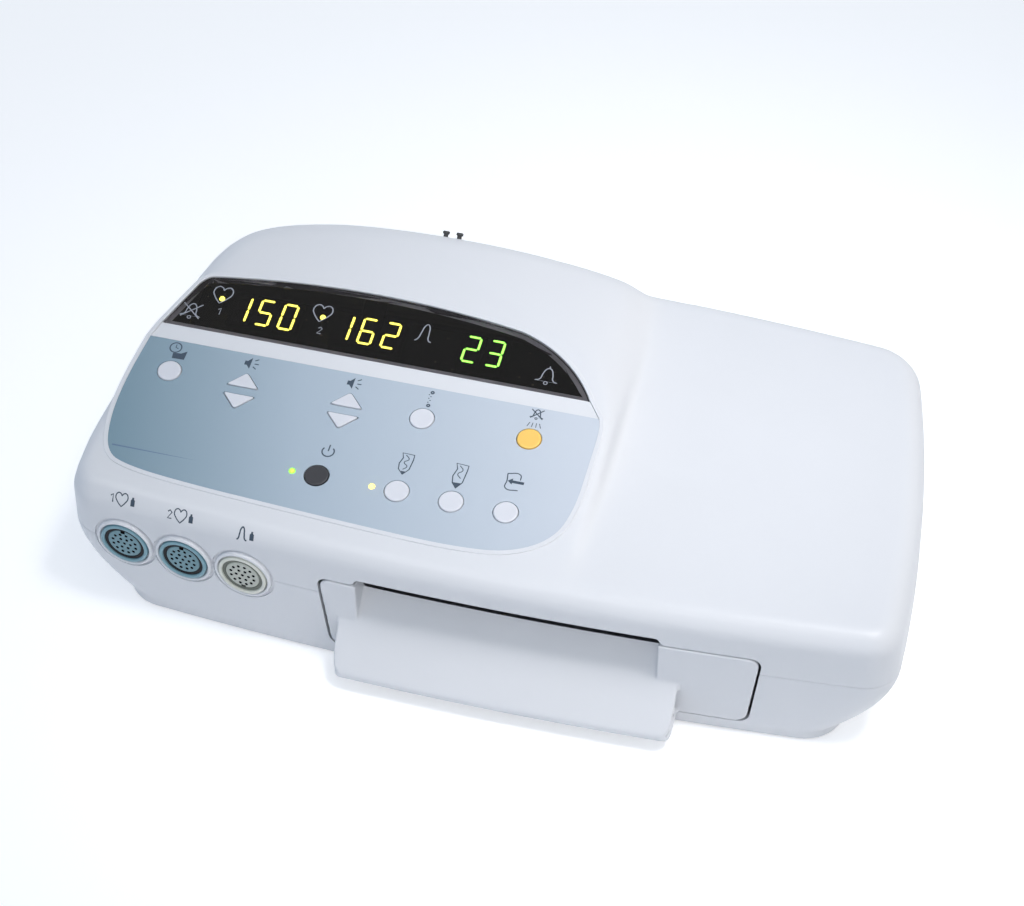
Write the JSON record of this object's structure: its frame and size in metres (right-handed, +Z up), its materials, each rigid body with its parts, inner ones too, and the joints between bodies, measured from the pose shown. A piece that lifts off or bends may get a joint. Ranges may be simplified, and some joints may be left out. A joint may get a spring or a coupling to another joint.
{
  "type": "fetal monitor",
  "caption": "Desktop fetal heart and contraction monitor with a smoked display, tilted key panel, front sensor sockets and a chart recorder with a paper drawer.",
  "frame": {"origin": "on the table under the middle of the whole unit", "axes": "+X to the user's right along the front, -Y towards the user, +Z up"},
  "size_m": [0.4282, 0.2477, 0.1049],
  "materials": {
    "housing_cover": "fine satin moulding",
    "housing_base": "fine satin moulding",
    "rubber": "matte",
    "steel": "satin",
    "smoked_lens": "polished smoked acrylic",
    "panel_film": "fine textured film",
    "circuit_board": "solder mask",
    "black_plastic": "moulded",
    "yellow_digits": "lit figures",
    "green_digits": "lit figures",
    "lamp_lens": "clear lamp",
    "teal_plastic": "moulded",
    "ivory_plastic": "moulded",
    "grey_plastic": "moulded",
    "white_plastic": "moulded",
    "white_keys": "satin",
    "yellow_key": "satin",
    "aluminium": "extruded",
    "brass": "turned"
  },
  "bodies": {
    "housing": {"base_shell": "housing_base", "top_cover": "housing_cover", "rubber_feet": "rubber", "cover_screws": "steel", "display_lens": "smoked_lens", "panel_overlay": "panel_film", "keypad_board": "circuit_board", "tact_switches": "black_plastic", "display_board": "circuit_board", "heart_rate_1_digits": "yellow_digits", "heart_rate_2_digits": "yellow_digits", "contraction_digits": "green_digits", "pulse_lamps": "yellow_digits", "panel_lamps": "lamp_lens", "socket_collars": "housing_cover", "socket_1_shell": "teal_plastic", "socket_2_shell": "teal_plastic", "socket_3_shell": "ivory_plastic", "socket_1_insert": "grey_plastic", "socket_2_insert": "grey_plastic", "socket_3_insert": "ivory_plastic", "socket_nuts": "steel", "socket_board": "circuit_board", "main_board": "circuit_board", "main_board_parts": "black_plastic", "board_screws": "steel", "power_board": "circuit_board", "transformer": "steel", "power_parts": "black_plastic", "mains_inlet": "black_plastic", "fuse_holders": "black_plastic", "rear_plate": "steel", "data_ports": "steel", "ground_stud": "brass", "rear_pegs": "black_plastic", "speaker": "black_plastic", "recorder_frame": "steel", "printhead": "aluminium", "printhead_springs": "steel", "stepper_motor": "steel", "drawer_rails": "steel", "bracket_inserts": "brass"},
    "clock_key_cap": {"clock_key": "white_keys"},
    "volume_1_up_key_cap": {"volume_1_up_key": "white_keys"},
    "volume_1_down_key_cap": {"volume_1_down_key": "white_keys"},
    "volume_2_up_key_cap": {"volume_2_up_key": "white_keys"},
    "volume_2_down_key_cap": {"volume_2_down_key": "white_keys"},
    "zero_key_cap": {"zero_key": "white_keys"},
    "silence_key_cap": {"silence_key": "yellow_key"},
    "power_key_cap": {"power_key": "black_plastic"},
    "record_key_cap": {"record_key": "white_keys"},
    "mark_key_cap": {"mark_key": "white_keys"},
    "paper_feed_key_cap": {"paper_feed_key": "white_keys"},
    "drawer": {"drawer_front": "housing_base", "paper_tray": "housing_base"},
    "platen": {"platen_shaft": "steel", "platen_rubber": "rubber", "platen_gear": "white_plastic"},
    "idler": {"idler_gear": "ivory_plastic"},
    "pinion": {"motor_pinion": "brass"}
  },
  "joints": [
    {"name": "clock_key_press", "type": "slide", "parent": "housing", "child": "clock_key_cap", "axis": [0, 0.134, -0.991], "range_m": [0, 0.0008], "stiffness_N_per_m": 600},
    {"name": "volume_1_up_key_press", "type": "slide", "parent": "housing", "child": "volume_1_up_key_cap", "axis": [0, 0.134, -0.991], "range_m": [0, 0.0008], "stiffness_N_per_m": 600},
    {"name": "volume_1_down_key_press", "type": "slide", "parent": "housing", "child": "volume_1_down_key_cap", "axis": [0, 0.134, -0.991], "range_m": [0, 0.0008], "stiffness_N_per_m": 600},
    {"name": "volume_2_up_key_press", "type": "slide", "parent": "housing", "child": "volume_2_up_key_cap", "axis": [0, 0.134, -0.991], "range_m": [0, 0.0008], "stiffness_N_per_m": 600},
    {"name": "volume_2_down_key_press", "type": "slide", "parent": "housing", "child": "volume_2_down_key_cap", "axis": [0, 0.134, -0.991], "range_m": [0, 0.0008], "stiffness_N_per_m": 600},
    {"name": "zero_key_press", "type": "slide", "parent": "housing", "child": "zero_key_cap", "axis": [0, 0.134, -0.991], "range_m": [0, 0.0008], "stiffness_N_per_m": 600},
    {"name": "silence_key_press", "type": "slide", "parent": "housing", "child": "silence_key_cap", "axis": [0, 0.134, -0.991], "range_m": [0, 0.0008], "stiffness_N_per_m": 600},
    {"name": "power_key_press", "type": "slide", "parent": "housing", "child": "power_key_cap", "axis": [0, 0.134, -0.991], "range_m": [0, 0.0008], "stiffness_N_per_m": 600},
    {"name": "record_key_press", "type": "slide", "parent": "housing", "child": "record_key_cap", "axis": [0, 0.134, -0.991], "range_m": [0, 0.0008], "stiffness_N_per_m": 600},
    {"name": "mark_key_press", "type": "slide", "parent": "housing", "child": "mark_key_cap", "axis": [0, 0.134, -0.991], "range_m": [0, 0.0008], "stiffness_N_per_m": 600},
    {"name": "paper_feed_key_press", "type": "slide", "parent": "housing", "child": "paper_feed_key_cap", "axis": [0, 0.134, -0.991], "range_m": [0, 0.0008], "stiffness_N_per_m": 600},
    {"name": "drawer_slide", "type": "slide", "parent": "housing", "child": "drawer", "axis": [0, -1, 0], "range_m": [0, 0.075]},
    {"name": "platen_spin", "type": "hinge", "parent": "housing", "child": "platen", "pos_m": [0.0211, -0.0796, 0.051], "axis": [1, 0, 0], "continuous": true},
    {"name": "idler_spin", "type": "hinge", "parent": "housing", "child": "idler", "pos_m": [0.1146, -0.06316, 0.04368], "axis": [1, 0, 0], "continuous": true},
    {"name": "pinion_spin", "type": "hinge", "parent": "housing", "child": "pinion", "pos_m": [0.1146, -0.05121, 0.03365], "axis": [1, 0, 0], "continuous": true}
  ],
  "couplings": [
    {"joint": "idler_spin", "follows": "platen_spin", "ratio": -0.8},
    {"joint": "pinion_spin", "follows": "platen_spin", "ratio": 1.4286}
  ]
}
